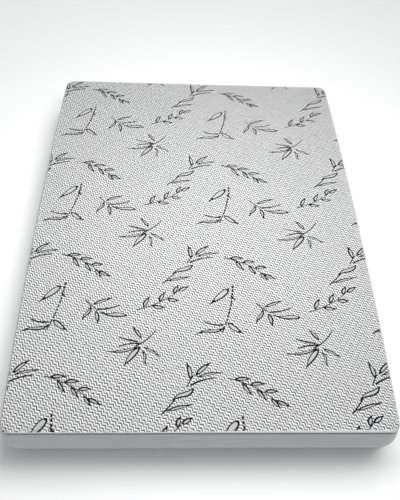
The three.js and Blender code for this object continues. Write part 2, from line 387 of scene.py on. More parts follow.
TRAIL = (
    Leaf(21, 176, -63, 96, 24.5, 0, 0, 1.6),
    Stem(-6, 3, -86, 17, 8, 7),
    Leaf(-3, -9, -119, -43, 11, 1, 6),
    Leaf(11, 13, 75, -35, 18.5, -4, 0, 1.4),
    Stem(-13, -32, 0, 0, 5.2, -2),
    Stem(28, 143, 46, 120, 8, 0),
    Dashes(1, 2, 38, 198, 8.6, -8, 11, 0.7),
)
TUFT = (
    Leaf(-15, 22, 65, 55, 10.5, 2, 0),
    Stem(6, 0, 98, 22, 7.4, -6),
    Leaf(132, -27, 18, -12, 16, 5, -3, 1.6),
    Leaf(0, -7, 13, -67, 13, 2, 0),
    Leaf(-24, 15, -53, -53, 11, 4, 4),
    Stem(-48, 43, 7, -3, 5.2, -2),
)


# A twig's stem is so wide. Its leaves stand off it and bend, and start and end so far along it,
# in shares of the way between two; their reach shrinks towards the tip
TWIG_STEM = 4.6
LEAF_OFF = 4
TIP_OFF = 3
LEAF_BEND = 3
LEAF_START = 0.7
LEAF_END = 0.3
LEAF_REACH = (1.1, 0.3)


def twig(reach, rise, bend, leaf_count, leaf_reach, leaf_width, spread):
    """A slender twig with leaves in turn on both sides, and one at its tip."""
    start = Vector((-reach / 2, -rise / 2))
    end = Vector((reach / 2, rise / 2))
    run = (end - start).normalized()
    left = Vector((-run.y, run.x))
    parts = [Stem(*start, *end, TWIG_STEM, bend)]
    most, less = LEAF_REACH
    for i in range(leaf_count):
        share = (i + LEAF_START) / (leaf_count + LEAF_END)
        side = 1 if i % 2 == 0 else -1
        way = Matrix.Rotation(side * spread, 2) @ run
        base = start.lerp(end, share) + left * bend * 4 * share * (1 - share) + way * LEAF_OFF
        tip = base + way * leaf_reach * (most - less * share)
        parts.append(Leaf(*base, *tip, leaf_width, side * LEAF_BEND, 0))
    parts.append(Leaf(*(end + run * TIP_OFF), *(end + run * leaf_reach), leaf_width, 0, 0))
    return tuple(parts)


REPEAT = (
    Sprig(-237, -645, FAN),
    Sprig(-42, -248, BRANCH),
    Sprig(103, -558, TRAIL),
    Sprig(284, -493, TUFT),
    Sprig(190, -262, twig(170, -84, 14, 6, 60, 12, 0.5)),
    Sprig(-176, -446, twig(165, 92, -12, 5, 54, 13.5, 0.62)),
)


class Outlines:
    """Closed outlines of a sprig in flat millimetres: dark lines, leaf insides, and their middles."""

    LEAF_STEPS = 15
    STEM_STEPS = 9
    DASH_STEPS = 4
    # Finer steps of a dashed line, for each dash
    FINE_STEPS = 8
    # How blunt a leaf is at its base, as the power of the share from there
    BASE_POWER = 0.8
    # The most of a leaf's width that its two outlines take
    MOST_LINE = 0.92
    HEAVY_SIDE = 1.2
    LIGHT_SIDE = 0.8
    # Width of a stem's tip and of a dashed line's first dash, as shares of the widest
    STEM_TIP = 0.65
    FIRST_DASH = 0.75
    LEAST_INSIDE = 0.4
    # Shares of the pen at a leaf's ends and more midway, and of its width where the pen fills it
    # and more where it doesn't
    PEN_SHARES = (0.7, 0.3)
    APART_SHARES = (0.1, 0.9)

    def __init__(self, line):
        self.line = line / MM
        self.lines = []
        self.insides = []
        self.ridges = []

    def spine(self, part, count, wave=0.0):
        """Shares along a part, its middle line, and the direction to its left."""
        share = (1 - np.cos(np.linspace(0, math.pi, count))) / 2
        base = np.array([part.base_x, part.base_y])
        run = np.array([part.tip_x, part.tip_y]) - base
        left = np.array([-run[1], run[0]]) / np.hypot(*run)
        sway = part.bend * 4 * share * (1 - share) + wave * np.sin(2 * math.pi * share)
        middle = base + share[:, None] * run + sway[:, None] * left
        step = np.gradient(middle, axis=0)
        step /= np.linalg.norm(step, axis=1)[:, None]
        return share, middle, np.stack([-step[:, 1], step[:, 0]], axis=1)

    def band(self, middle, left, to_left, to_right):
        """A closed outline round a middle line, anticlockwise, as the triangulation needs it."""
        there = middle - left * to_right[:, None]
        back = middle + left * to_left[:, None]
        return np.concatenate([there, back[::-1]])

    def half_widths(self, part, share):
        """Half the width of a leaf at shares of the way from its base."""
        shape = share**self.BASE_POWER * (1 - share) ** part.tail
        widest = self.BASE_POWER / (self.BASE_POWER + part.tail)
        most = widest**self.BASE_POWER * (1 - widest) ** part.tail
        return part.width / 2 * shape / most

    def leaf(self, part):
        share, middle, left = self.spine(part, self.LEAF_STEPS, part.wave)
        half = self.half_widths(part, share)
        thickest = min(self.line, part.width * self.MOST_LINE / 2)
        at_ends, midway = self.PEN_SHARES
        pen = thickest * (at_ends + midway * np.sin(math.pi * share) ** 0.5)
        heavy = pen * self.HEAVY_SIDE / 2
        light = pen * self.LIGHT_SIDE / 2
        # Where the two outlines meet they make one stroke
        met, wide = self.APART_SHARES
        apart = half * (met + wide * np.clip(half / pen, 0, 1))
        self.lines.append(self.band(middle, left, apart + heavy, apart + light))
        run = math.hypot(part.tip_x - part.base_x, part.tip_y - part.base_y)
        past_base = np.clip(share - thickest / 2 / run, 0, 1)
        held = np.minimum(half, self.half_widths(part, past_base))
        is_open = held - heavy > self.LEAST_INSIDE
        if is_open.sum() > 2:
            inner = self.band(
                middle[is_open], left[is_open], (held - heavy)[is_open], (held - light)[is_open]
            )
            self.insides.append(inner)
            self.ridges.append(middle[is_open][1:-1])

    def stem(self, part):
        share, middle, left = self.spine(part, self.STEM_STEPS)
        half = part.width / 2 * (1 - (1 - self.STEM_TIP) * share)
        self.lines.append(self.band(middle, left, half, half))

    def dashes(self, part):
        share, middle, left = self.spine(part, part.count * self.FINE_STEPS + 1)
        for i in range(part.count):
            spots = np.linspace(i, i + part.share, self.DASH_STEPS) / part.count
            centre, aside = (
                np.stack([np.interp(spots, share, line[:, k]) for k in (0, 1)], axis=1)
                for line in (middle, left)
            )
            grown = self.FIRST_DASH + (1 - self.FIRST_DASH) * i / part.count
            half = np.full(self.DASH_STEPS, part.width / 2 * grown)
            self.lines.append(self.band(centre, aside, half, half))

    def draw(self, parts):
        ways = {Leaf: self.leaf, Stem: self.stem, Dashes: self.dashes}
        for part in parts:
            ways[type(part)](part)


def spin_by(turn):
    """Turns rows of flat points about the middle, as a factor from the right."""
    c, s = math.cos(turn), math.sin(turn)
    return np.array([[c, s], [-s, c]])


# How near to the border the pull of the cloth tells, as powers of the share of the way there
SIDE_PULL = 3
SIDE_SHARE = 0.4
END_PULL = 8
SPRIG_ROWS = range(-2, 5)
SPRIG_COLUMNS = range(-2, 3)


def pattern_outlines(form, pattern):
    """All outlines of the pattern that reach the panel, pulled on and aside with the cloth."""
    half = np.array([form.panel_x, form.panel_y]) / MM
    repeat = np.array([pattern.repeat_across, pattern.repeat_along]) / MM
    spin = spin_by(pattern.turn)

    def placed(points, shift):
        points = (points + shift) @ spin
        share = np.clip(points / half, -1, 1)
        at_side = np.abs(share[:, 0]) ** SIDE_PULL
        at_foot = np.clip(-share[:, 1], 0, 1) ** END_PULL
        points[:, 1] += pattern.pulled_on / MM * at_side * (share[:, 0] > 0)
        points[:, 0] += pattern.pulled_aside / MM * (at_foot + SIDE_SHARE * at_side)
        return points

    kept = Outlines(pattern.line)
    for sprig in REPEAT:
        one = Outlines(pattern.line)
        one.draw(sprig.parts)
        for row, column in product(SPRIG_ROWS, SPRIG_COLUMNS):
            shift = np.array([sprig.across, sprig.along]) + repeat * (column, row)
            for kind in ("lines", "insides", "ridges"):
                there = [placed(points, shift) for points in getattr(one, kind)]
                getattr(kept, kind).extend(p for p in there if (np.abs(p) < half).all(1).any())
    return kept


# Meshes


def add_object(name, data):
    obj = bpy.data.objects.new(name, data)
    bpy.context.scene.collection.objects.link(obj)
    return obj


def mesh_from(name, points, faces, flat_faces=None, maps=None, slots=None):
    """A smooth-shaded mesh; maps holds a UV map's name and its place for each vertex."""
    mesh = bpy.data.meshes.new(name)
    mesh.from_pydata(np.asarray(points).tolist(), [], faces)
    smooth = np.ones(len(mesh.polygons), bool)
    if flat_faces is not None:
        smooth[flat_faces] = False
    mesh.polygons.foreach_set("use_smooth", smooth)
    corners = np.zeros(len(mesh.loops), np.int32)
    mesh.loops.foreach_get("vertex_index", corners)
    for map_name, place in (maps or {}).items():
        layer = mesh.uv_layers.new(name=map_name)
        at_corners = place if len(place) == len(corners) else np.asarray(place)[corners]
        layer.uv.foreach_set("vector", at_corners.astype(np.float32).ravel())
    if slots is not None:
        mesh.polygons.foreach_set("material_index", slots)
    mesh.update()
    return mesh


def chain_of(first, count):
    """Edges of a closed chain of points, numbered from the first."""
    here = np.arange(count)
    return np.stack([here, (here + 1) % count], axis=1) + first


def cell_keys(points, gap):
    """One number for the cell of a grid that each point lies in."""
    cells = np.floor(points / gap).astype(np.int64)
    return cells[:, 0] * 1_000_003 + cells[:, 1]


class Clearance:
    """Tells which points lie clear of closed lines, by one gap to two."""

    def __init__(self, lines, gap):
        self.gap = gap
        marks = []
        for line in lines:
            ahead = np.roll(line, -1, axis=0) - line
            steps = math.ceil(np.linalg.norm(ahead, axis=1).max() / gap)
            marks += [line + ahead * step / steps for step in range(steps)]
        marks = np.concatenate(marks)
        around = [marks + np.array([i, j]) * gap for i in (-1, 0, 1) for j in (-1, 0, 1)]
        self.near = np.unique(cell_keys(np.concatenate(around), gap))

    def clear(self, points):
        return ~np.isin(cell_keys(points, self.gap), self.near)


class StepKnit:
    """The lines of steps in the ground knit, and the tops of the puffed knit between them."""

    # Waves by which the lines wander: waves per metre across and along, reach in mm, phase
    WAVES = (
        (1.3, 2.1, 2.6, 0.4),
        (-2.9, 1.2, 1.9, 1.9),
        (2.2, -4.3, 1.1, 3.3),
        (9.1, 7.4, 0.45, 0.9),
        (-13.7, 10.2, 0.35, 4.4),
        (17.3, 21.9, 0.3, 2.6),
    )
    ACROSS_SHIFT = 1.7
    EDGE_TESTS = (0.2, 0.4, 0.6, 0.8)

    def __init__(self, knit, turn):
        self.knit = knit
        spin = spin_by(turn)
        self.tread = np.array([knit.corner_across, -knit.corner_down]) @ spin
        step = [knit.step_across, -knit.step_down]
        self.steps = np.array([step, [knit.next_across, knit.next_along]]) @ spin
        self.to_steps = np.linalg.inv(self.steps)

    def wander(self, flat):
        moved = np.zeros_like(flat)
        for across, along, reach, phase in self.WAVES:
            wave = 2 * math.pi * (across * flat[:, 0] + along * flat[:, 1]) + phase
            moved[:, 0] += reach * MM * np.sin(wave + self.ACROSS_SHIFT)
            moved[:, 1] += reach * MM * np.sin(wave)
        return moved * self.knit.wander

    def place(self, flat):
        """How many steps down, and how many lines on, flat points lie."""
        return (flat - self.wander(flat)) @ self.to_steps

    def corners(self, half_x, half_y):
        """Corners of the lines and of the tops between them, and the edges that join them."""
        reach = np.array([[half_x, half_y], [-half_x, half_y]]) @ self.to_steps
        most = np.ceil(np.abs(reach).max(axis=0)).astype(int) + 1
        spans = [np.arange(-count, count) for count in most]
        down, on = np.meshgrid(*spans, indexing="ij")
        start = down[..., None] * self.steps[0] + on[..., None] * self.steps[1]
        half_on = self.steps[1] / 2
        kinds = [start, start + self.tread, start + half_on, start + half_on + self.tread]
        points = np.stack(kinds, axis=2)
        numbers = np.arange(points[..., 0].size).reshape(points.shape[:3])
        treads = [(numbers[..., kind], numbers[..., kind + 1]) for kind in (0, 2)]
        risers = [(numbers[:-1, :, kind + 1], numbers[1:, :, kind]) for kind in (0, 2)]
        edges = [np.stack(ends, axis=-1).reshape(-1, 2) for ends in treads + risers]
        is_top = np.zeros(points.shape[:3], bool)
        is_top[..., 2:] = True
        points = points.reshape(-1, 2)
        return points + self.wander(points), np.concatenate(edges), is_top.ravel()

    def within(self, form, clearance, room):
        """The corners and edges that lie inside the knitted field and clear of the pattern."""
        points, edges, is_top = self.corners(form.panel_x, form.panel_y)
        keep = (form.inside_border(*points.T) > room) & clearance.clear(points)
        keep_edge = keep[edges].all(axis=1)
        first, last = points[edges[:, 0]], points[edges[:, 1]]
        for share in self.EDGE_TESTS:
            keep_edge &= clearance.clear(first + (last - first) * share)
        renumbered = np.cumsum(keep) - 1
        return points[keep], renumbered[edges[keep_edge]], is_top[keep]


# The panel's rows near its border and its other spacings, and its material slots
ROLL_ROWS = (1.0 * MM, 2.4 * MM)
STRIP_GROOVE = 0.5 * MM
STRIP_PUFF = 0.5 * MM
STRIP_WAVES = 3
STRIP_PHASE = 0.623
STRIP_TURN = 30 * MM
BORDER_SPACING = 7 * MM
FIELD_ROOM = 2 * MM
OUTLINE_ROOM = 2.4 * MM
BACK_SPACING = 60 * MM
GROUND_SLOT, LINE_SLOT, LEAF_SLOT, STRIP_SLOT = range(4)


def strip_rows(form, knit):
    """The inner edge of the plain strip, and a row along its middle."""
    outer = form.rounded_outline(0, BORDER_SPACING)
    widest = knit.strip + knit.strip_change
    inner = form.rounded_outline(widest, BORDER_SPACING)
    way = np.arange(len(outer)) / len(outer)
    wave = np.sin(2 * math.pi * STRIP_WAVES * (way - STRIP_PHASE))
    at_end = np.clip((np.abs(outer[:, 1]) - form.panel_y) / STRIP_TURN + 1, 0, 1)
    wide = knit.side_strip + (knit.strip + knit.strip_change * wave - knit.side_strip) * at_end
    share = (wide / widest)[:, None]
    middle = (share + ROLL_ROWS[-1] / widest) / 2
    return outer + (inner - outer) * share, outer + (inner - outer) * middle


def strip_depth(form, field, flat):
    """Depths of flat points on the plain strip, between the rolled edge and the knitted field."""
    nearest = np.linalg.norm(flat[:, None] - field, axis=2).argmin(axis=1)
    wide = form.inside_border(*field[nearest].T) - ROLL_ROWS[-1]
    share = (form.inside_border(*flat.T) - ROLL_ROWS[-1]) / wide
    return np.interp(share, (0, 0.5, 1), (0, -STRIP_PUFF, STRIP_GROOVE))


def triangulate(polygons, free, edges=()):
    """Triangles inside the first outline, with the outlines that each lies in."""
    points = []
    faces = []
    for outline in polygons:
        faces.append(list(range(len(points), len(points) + len(outline))))
        points += outline.tolist()
    joined = (np.asarray(edges).reshape(-1, 2).astype(int) + len(points)).tolist()
    points += free.tolist()
    found = delaunay_2d_cdt([Vector(p) for p in points], joined, faces, 1, 1e-6, True)
    flat = np.array([v[:] for v in found[0]])
    inside = [(triangle, within) for triangle, within in zip(found[2], found[5]) if 0 in within]
    triangles = np.array([triangle for triangle, _ in inside])
    a, b, c = (flat[triangles[:, k]] for k in range(3))
    clockwise = np.cross(b - a, c - a) < 0
    triangles[clockwise] = triangles[clockwise][:, ::-1]
    used, renumbered = np.unique(triangles, return_inverse=True)
    sources = np.array([ids[0] if ids else -1 for ids in found[3]])[used]
    return flat[used], renumbered.reshape(triangles.shape), sources, [within for _, within in inside]


def slot_of(within, line_count):
    """Material slot of a triangle, from the outlines that it lies in: border, field, lines, leaves."""
    if 1 not in within:
        return STRIP_SLOT
    in_lines = sum(1 for k in within if 1 < k < 2 + line_count)
    in_leaves = len(within) - 2 - in_lines
    if in_lines == 0:
        return GROUND_SLOT
    return LEAF_SLOT if in_leaves == in_lines else LINE_SLOT


def open_edges(triangles):
    """Edges that only one triangle has, in that triangle's direction."""
    edges = np.concatenate([triangles[:, [0, 1]], triangles[:, [1, 2]], triangles[:, [2, 0]]])
    key = np.sort(edges, axis=1)
    order = key[:, 0].astype(np.int64) * (key.max() + 1) + key[:, 1]
    _, first, count = np.unique(order, return_index=True, return_counts=True)
    return edges[first[count == 1]]


def chained(edges):
    """Vertex numbers of a closed chain of edges, in order."""
    after = dict(edges.tolist())
    chain = [edges[0][0]]
    while after[chain[-1]] != chain[0]:
        chain.append(after[chain[-1]])
    return np.array(chain)


def rolled(form, sewing, flat):
    """How far the cloth rolls in at flat points near the seam."""
    inside = form.inside_border(*flat.T)
    return sewing.roll * np.clip(1 - inside / sewing.roll_width, 0, 1) ** 2


def panel_face(form, pattern, knit, sewing):
    """The panel's upper face: flat points, depths, triangles, material slots and drawn-down points."""
    drawn = pattern_outlines(form, pattern)
    lines, insides = ([line * MM for line in kind] for kind in (drawn.lines, drawn.insides))
    ridges = np.concatenate(drawn.ridges) * MM
    border = form.rounded_outline(0, BORDER_SPACING)
    field, strip_middle = strip_rows(form, knit)
    room = knit.strip + knit.strip_change + FIELD_ROOM
    steps = StepKnit(knit, pattern.turn)
    corners, edges, is_top = steps.within(form, Clearance(lines, OUTLINE_ROOM), room)
    rolls = [form.rounded_outline(inset, BORDER_SPACING) for inset in ROLL_ROWS]
    free = np.concatenate([corners, ridges, *rolls, strip_middle])
    first_row = len(corners) + len(ridges)
    chains = [chain_of(first_row + i * len(border), len(border)) for i in range(len(rolls) + 1)]
    polygons = [border, field, *lines, *insides]
    flat, triangles, sources, within = triangulate(polygons, free, np.concatenate([edges, *chains]))
    slots = np.array([slot_of(ids, len(lines)) for ids in within], np.int32)

    first_line = len(border) + len(field)
    first_corner = sum(len(polygon) for polygon in polygons)
    depths = np.zeros(first_corner + len(free))
    depths[len(border) : first_line] = STRIP_GROOVE
    depths[first_corner:][: len(corners)] = np.where(is_top, -knit.puffed, knit.drawn)
    depths[first_corner:][len(corners) : first_row] = -pattern.puff
    depths[-len(strip_middle) :] = -STRIP_PUFF
    depth = np.where(sources < 0, 0, depths[sources])
    # Where outlines run into the plain strip, they follow its own form
    stray = (sources < first_corner) & ((sources < 0) | (sources >= first_line))
    stray[triangles[slots != STRIP_SLOT]] = False
    depth[stray] = strip_depth(form, field, flat[stray])
    in_leaf = np.zeros(len(flat), bool)
    in_leaf[triangles[slots == LEAF_SLOT]] = True
    in_leaf[triangles[slots != LEAF_SLOT]] = False
    depth[in_leaf] = -pattern.puff
    depth[triangles[slots == LINE_SLOT]] = pattern.sink
    is_drawn = np.isin(sources, first_corner + np.flatnonzero(~is_top))
    return flat, depth + rolled(form, sewing, flat), triangles, slots, is_drawn


def panel_mesh(form, pattern, knit, sewing):
    """The top panel as one closed sheet: its patterned face, its plain back and its rim."""
    flat, depth, triangles, slots, is_drawn = panel_face(form, pattern, knit, sewing)
    rim = chained(open_edges(triangles))
    insets = (ROLL_ROWS[-1], 4 * ROLL_ROWS[-1])
    inner = [form.rounded_outline(inset, BORDER_SPACING) for inset in insets]
    across, along = (
        np.arange(-half + BACK_SPACING, half - BACK_SPACING / 2, BACK_SPACING)
        for half in (form.panel_x, form.panel_y)
    )
    grid = np.stack(np.meshgrid(across, along), axis=-1).reshape(-1, 2)
    back_flat, back_triangles, sources, _ = triangulate([flat[rim]], np.concatenate([*inner, grid]))
    back_depth = form.size.panel_thickness + rolled(form, sewing, back_flat)
    below = np.zeros(len(rim), int)
    on_rim = (sources >= 0) & (sources < len(rim))
    below[sources[on_rim]] = np.flatnonzero(on_rim) + len(flat)
    sides = np.stack([np.roll(rim, -1), rim, below, np.roll(below, -1)], axis=1)
    back_faces = back_triangles[:, ::-1] + len(flat)
    faces = triangles.tolist() + back_faces.tolist() + sides.tolist()
    flat_all = np.concatenate([flat, back_flat])
    mesh = mesh_from(
        "top_panel_cloth",
        form.laid_over(*flat_all.T, np.concatenate([depth, back_depth])),
        faces,
        flat_faces=np.arange(len(faces) - len(sides), len(faces)),
        maps={
            "cloth": flat_all,
            "steps": StepKnit(knit, pattern.turn).place(flat_all),
            "OFBake": bake_places(form, flat, back_flat),
        },
        slots=np.concatenate([slots, np.full(len(faces) - len(slots), STRIP_SLOT, np.int32)]),
    )
    ends = np.zeros(2 * len(mesh.edges), np.int32)
    mesh.edges.foreach_get("vertices", ends)
    is_drawn = np.concatenate([is_drawn, np.zeros(len(back_flat), bool)])
    mesh.edges.foreach_set("use_edge_sharp", is_drawn[ends.reshape(-1, 2)].all(axis=1))
    return mesh


# The panel's places in the OFBake map, in a square a little longer than the panel: where its face and
# its back begin, and where the back ends and how high it is
SQUARE_ROOM = 20 * MM
FACE_LEFT = 0.005
BACK_LEFT = 0.015
BACK_RIGHT = 0.99
BACK_HEIGHT = 0.9


def bake_places(form, flat, back_flat):
    """Places in the OFBake map: the face fills most of a square, the back a strip beside it."""
    full = 2 * form.panel_y + SQUARE_ROOM
    face = flat / full + [form.panel_x / full + FACE_LEFT, 0.5]
    left = 2 * form.panel_x / full + BACK_LEFT
    strip = np.array([BACK_RIGHT - left, BACK_HEIGHT])
    back = back_flat / [2 * form.panel_x, 2 * form.panel_y] * strip
    return np.concatenate([face, back + [left + strip[0] / 2, 0.5]])


def ring_faces(count, ring_count, closed):
    """Faces between rings of points; closed joins the last ring to the first."""
    here = np.arange(count)
    after = np.roll(here, -1)
    faces = []
    for upper in range(ring_count if closed else ring_count - 1):
        u = upper * count
        l = (upper + 1) % ring_count * count
        faces.append(np.stack([u + here, l + here, l + after, u + after], axis=1))
    return np.concatenate(faces)


# The skirt's places in the OFBake map lie in as many strips, one over the other
BAKE_STRIPS = 4
BAKE_MARGIN = 0.01


def skirt_maps(stations, drops):
    """Places on the flat cloth at the faces' corners, without a jump where the rings close."""
    begin = stations.along
    end = np.append(begin[1:], stations.girth)
    across = np.stack([begin, begin, end, end], axis=1)
    run = stations.girth / BAKE_STRIPS
    strip = np.floor(begin / run)[:, None]
    longest = max(float(drop.max()) for drop in drops)
    cloth, bake = [], []
    for upper, lower in zip(drops, drops[1:]):
        down = np.stack([upper, lower, np.roll(lower, -1), np.roll(upper, -1)], axis=1)
        cloth.append(np.stack([across, -down], axis=-1))
        u = BAKE_MARGIN + (across / run - strip) * (1 - 3 * BAKE_MARGIN)
        v = (strip + BAKE_MARGIN + down / longest * (1 - 3 * BAKE_MARGIN)) / BAKE_STRIPS
        bake.append(np.stack([u, v], axis=-1))
    return {
        "cloth": np.concatenate(cloth).reshape(-1, 2),
        "OFBake": np.concatenate(bake).reshape(-1, 2),
    }


# Materials


class Number:
    """A number that varies from place to place; sums, products and the like add Math nodes."""

    def __init__(self, nodes, socket):
        self.nodes = nodes
        self.socket = socket

    def __add__(self, other):
        return self.nodes.math("ADD", self, other)

    def __sub__(self, other):
        return self.nodes.math("SUBTRACT", self, other)

    def __rsub__(self, other):
        return self.nodes.math("SUBTRACT", other, self)

    def __mul__(self, other):
        return self.nodes.math("MULTIPLY", self, other)

    __radd__ = __add__
    __rmul__ = __mul__


class Nodes:
    """A node tree that is built up node by node."""

    def __init__(self, tree):
        self.tree = tree

    def add(self, kind, sockets=None, **settings):
        """Adds a node of a kind, with its settings first and then its sockets' values or links."""
        node = self.tree.nodes.new(kind)
        for key, value in settings.items():
            setattr(node, key, value)
        for key, value in (sockets or {}).items():
            self.feed(node, key, value)
        return node

    def feed(self, node, key, value):
        if isinstance(value, Number):
            value = value.socket
        if isinstance(value, bpy.types.NodeSocket):
            self.tree.links.new(value, node.inputs[key])
        else:
            node.inputs[key].default_value = value

    def math(self, operation, *values):
        node = self.add("ShaderNodeMath", dict(enumerate(values)), operation=operation)
        return Number(self, node.outputs[0])

    def point(self, **axes):
        return self.add("ShaderNodeCombineXYZ", axes).outputs[0]


class Finish(Nodes):
    """A cloth material, or one of the floor."""

    # Radians a millimetre that the loops of a plain knit take across and along
    LOOPS = (4.1, 3.3)

    def __init__(self, name):
        self.material = bpy.data.materials.new(name)
        self.material.use_nodes = True
        super().__init__(self.material.node_tree)
        self.shader = self.tree.nodes["Principled BSDF"]

    def wave(self, place, *per_unit):
        """A sine along a direction, from how many radians it takes for each unit of a place."""
        node = self.add("ShaderNodeVectorMath", {0: place, 1: per_unit}, operation="DOT_PRODUCT")
        return self.math("SINE", Number(self, node.outputs["Value"]))

    def woven(self, place, across, along):
        """Height of loops, from how many radians they take across and along."""
        return self.wave(place, across, 0, 0) * self.wave(place, 0, along, 0)

    def ramped(self, value, low, high):
        """From 0 to 1, softly, as a value goes from low to high."""
        sockets = {"Value": value, "From Min": low, "From Max": high}
        node = self.add("ShaderNodeMapRange", sockets, interpolation_type="SMOOTHSTEP")
        return Number(self, node.outputs["Result"])

    def mixed(self, share, *colours):
        """A colour between two colours."""
        first, second = (
            value if isinstance(value, bpy.types.NodeSocket) else (*value, 1.0) for value in colours
        )
        node = self.add("ShaderNodeMix", {"Factor": share, 6: first, 7: second}, data_type="RGBA")
        return node.outputs[2]

    def map(self, name):
        return self.add("ShaderNodeUVMap", uv_map=name).outputs["UV"]

    def object_place(self):
        return self.add("ShaderNodeTexCoord").outputs["Object"]

    def scaled(self, place, *scale):
        node = self.add("ShaderNodeMapping", {"Vector": place, "Scale": scale})
        return node.outputs["Vector"]

    def cloth_place(self):
        """Place on the flat cloth, in millimetres."""
        return self.scaled(self.map("cloth"), *[1 / MM] * 3)

    def noise(self, place, scale, detail=2.0):
        sockets = {"Vector": place, "Scale": scale, "Detail": detail}
        return Number(self, self.add("ShaderNodeTexNoise", sockets).outputs["Fac"])

    def finish(self, base, roughness, height=None, depth=0.0, sheen=0.0, gloss=0.3):
        """The material, with a bump from a height that is so deep."""
        values = {
            "Base Color": base,
            "Roughness": roughness,
            "Specular IOR Level": gloss,
            "Sheen Weight": sheen,
            "Sheen Roughness": 0.5,
        }
        if height is not None:
            bump = self.add("ShaderNodeBump", {"Height": height, "Distance": depth})
            values["Normal"] = bump.outputs["Normal"]
        for key, value in values.items():
            self.feed(self.shader, key, value)
        return self.material


def toned(colour, times):
    """A colour made paler or darker."""
    return tuple(min(1.0, times * part) for part in colour)


# The ground's lines in shares of the way from line to line: width, how they vary, and their corners
LINE_EDGES = (0.13, 0.25)
LINE_SHIFT = 0.18
CORNER_SOFTNESS = 0.06
CORNER_SHIFT = 0.04
# How strongly the lines are darkened, by their dark yarn and by painted shade in their recess: midway
# along, and more at corners
LINE_DARKENING = (0.62, 0.38)
# Painted light from the side, which paints one side of each line white and the other in grey painted
# shade: midway along and more at corners, its change from step to step, its range
PAINTED_SIDE_LIGHT = (0.6, 0.4)
PAINTED_LIGHT_SHIFT = 0.4
PAINTED_LIGHT_RANGE = (0.1, 0.6)
# Patches a millimetre and their range; the lines' pull at least, with the patches, and by the step
PATCH_SCALE = 0.06
PATCH_RANGE = (0.35, 0.6)
PULL_SHARES = (0.55, 0.35, 0.4)
# Shares of the bump: outside the lines, where the light falls, and of the loops
GROUND_SHARES = (0.5, 0.25, 0.08)
GROUND_DEPTH = 0.8 * MM
FLECK_SCALE = 0.5
FLECK_RANGE = (0.3, 0.7)


def ground_material(knit):
    """Dark drawn-down lines, white painted light on one side of each line, grey painted shade on the
    other.
    """
    finish = Finish("knit_ground")
    parts = finish.add("ShaderNodeSeparateXYZ", {0: finish.map("steps")})
    down, on = (Number(finish, parts.outputs[axis]) for axis in ("X", "Y"))
    area = knit.step_across * knit.next_along + knit.step_down * knit.next_across
    corner = (knit.corner_across * knit.next_along + knit.corner_down * knit.next_across) / area
    corner_on = (knit.corner_across * knit.step_down - knit.corner_down * knit.step_across) / area
    way = finish.math("FRACT", down)
    falling = (1 - way) * (corner_on / (1 - corner))
    climb = finish.math("SMOOTH_MIN", way * (corner_on / corner), falling, CORNER_SOFTNESS)
    line = on - climb + 0.5
    from_line = finish.math("FRACT", line) - 0.5
    step = finish.point(X=finish.math("FLOOR", down), Y=finish.math("FLOOR", line))
    uneven = Number(finish, finish.add("ShaderNodeTexWhiteNoise", {"Vector": step}).outputs["Value"])
    from_line = from_line + (finish.math("FRACT", uneven * 7) - 0.5) * LINE_SHIFT
    outside = finish.ramped(finish.math("ABSOLUTE", from_line), *LINE_EDGES)
    round_corner = finish.math("COSINE", (way - (corner + CORNER_SHIFT)) * (2 * math.pi))
    at_corner = 0.5 + 0.5 * round_corner
    pull = LINE_DARKENING[0] + LINE_DARKENING[1] * at_corner
    place = finish.cloth_place()
    patch = finish.ramped(finish.noise(place, PATCH_SCALE, 3.0), *PATCH_RANGE)
    least, by_patch, by_step = PULL_SHARES
    pull = pull * (least + by_patch * patch + by_step * uneven)
    # Painted light and shade: one side of each line is painted white as if lit, the other grey as if
    # shaded, with random flecks and steps mixed in
    side = finish.math("SINE", from_line * (-2 * math.pi))
    fleck = finish.noise(place, FLECK_SCALE)
    light = side * (PAINTED_SIDE_LIGHT[0] + PAINTED_SIDE_LIGHT[1] * at_corner)
    light = light + (fleck - 0.5) + (uneven - 0.5) * PAINTED_LIGHT_SHIFT
    lit = finish.ramped(light, *PAINTED_LIGHT_RANGE)
    base = finish.mixed(lit, knit.ground, knit.yarn)
    # The lines are darkened with their dark yarn and with painted shade in the recess
    base = finish.mixed((1 - outside) * pull, base, knit.groove_yarn_and_shade)
    off_line, in_light, in_loops = GROUND_SHARES
    height = outside * off_line + lit * in_light + finish.woven(place, *finish.LOOPS) * in_loops
    return finish.finish(base, 0.9, height, GROUND_DEPTH, gloss=0.1)


STRIP_FLECKS = 0.25


def strip_material(knit):
    """Plain knit of the strip along the seam, and of the panel's back."""
    finish = Finish("plain_strip")
    place = finish.cloth_place()
    fleck = finish.ramped(finish.noise(place, STRIP_FLECKS), *FLECK_RANGE)
    base = finish.mixed(fleck, toned(knit.strip_colour, 0.85), knit.strip_colour)
    return finish.finish(base, 0.85, finish.woven(place, *finish.LOOPS), 0.12 * MM, sheen=0.1)


# Flecks of the drawn-in lines, and how much paler the palest are
LINE_FLECKS = 0.7
LINE_RANGE = (0.35, 0.8)
PALE_INK = 2.2


def line_material(pattern):
    finish = Finish("pattern_line")
    fleck = finish.noise(finish.cloth_place(), LINE_FLECKS)
    pale = toned(pattern.ink, PALE_INK)
    base = finish.mixed(finish.ramped(fleck, *LINE_RANGE), pattern.ink, pale)
    return finish.finish(base, 0.95, fleck, 0.4 * MM, gloss=0.05)


LEAF_LOOPS = (4.4, 5.2)
LIGHT_LEAF = 1.25


def leaf_material(pattern):
    finish = Finish("leaf_inside")
    place = finish.cloth_place()
    fleck = finish.ramped(finish.noise(place, FLECK_SCALE), *FLECK_RANGE)
    base = finish.mixed(fleck, pattern.leaf, toned(pattern.leaf, LIGHT_LEAF))
    return finish.finish(base, 0.85, finish.woven(place, *LEAF_LOOPS), 0.15 * MM, sheen=0.15)


# Streaks a millimetre, ribs in radians a millimetre, tones, and where the fold's shade ends
STREAK_SCALE = (0.007, 0.15, 1)
SKIRT_RIBS = 4.2
STREAK_TONE = 0.80
FOLD_TONE = 0.28
FOLD_RANGE = (0.6, 1.3)


